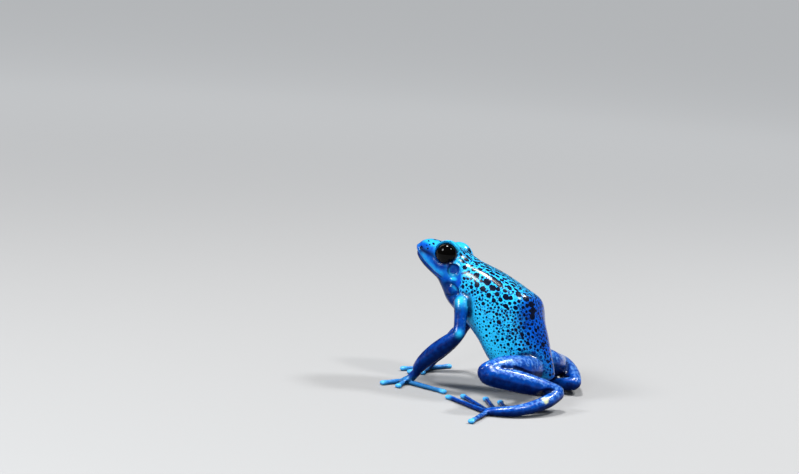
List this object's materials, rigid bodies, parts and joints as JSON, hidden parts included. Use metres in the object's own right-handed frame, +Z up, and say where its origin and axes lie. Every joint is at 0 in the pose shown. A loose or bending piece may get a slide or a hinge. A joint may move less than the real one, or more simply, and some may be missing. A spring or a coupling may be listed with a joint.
{
  "type": "blue poison dart frog",
  "caption": "Still, life-size blue poison dart frog sitting up on its straightened arms and folded legs, black-spotted blue skin.",
  "frame": {"origin": "middle of the base of the box round the whole animal, on the surface it sits on", "axes": "+Z up, -Y the way the frog looks, +X towards its left side"},
  "size_m": [0.054, 0.0432, 0.0309],
  "materials": {
    "azure_skin": "moist, finely grained bright blue skin with black spots",
    "cobalt_skin": "moist, finely grained deep blue skin",
    "pale_blue_skin": "moist blue skin, paler at the toe and finger discs",
    "eye": "polished, nearly black"
  },
  "bodies": {
    "root": {"head": "azure_skin", "lower_jaw": "azure_skin", "torso": "azure_skin", "left_eye": "eye", "left_tympanum": "cobalt_skin", "left_upper_arm": "cobalt_skin", "left_forearm": "cobalt_skin", "left_hand": "cobalt_skin", "left_thigh": "cobalt_skin", "left_shank": "cobalt_skin", "left_foot": "cobalt_skin", "left_finger_1": "pale_blue_skin", "left_finger_2": "pale_blue_skin", "left_finger_3": "pale_blue_skin", "left_finger_4": "pale_blue_skin", "left_toe_1": "pale_blue_skin", "left_toe_2": "pale_blue_skin", "left_toe_3": "pale_blue_skin", "left_toe_4": "pale_blue_skin", "left_toe_5": "pale_blue_skin", "right_eye": "eye", "right_tympanum": "cobalt_skin", "right_upper_arm": "cobalt_skin", "right_forearm": "cobalt_skin", "right_hand": "cobalt_skin", "right_thigh": "cobalt_skin", "right_shank": "cobalt_skin", "right_foot": "cobalt_skin", "right_finger_1": "pale_blue_skin", "right_finger_2": "pale_blue_skin", "right_finger_3": "pale_blue_skin", "right_finger_4": "pale_blue_skin", "right_toe_1": "pale_blue_skin", "right_toe_2": "pale_blue_skin", "right_toe_3": "pale_blue_skin", "right_toe_4": "pale_blue_skin", "right_toe_5": "pale_blue_skin"}
  },
  "joints": []
}
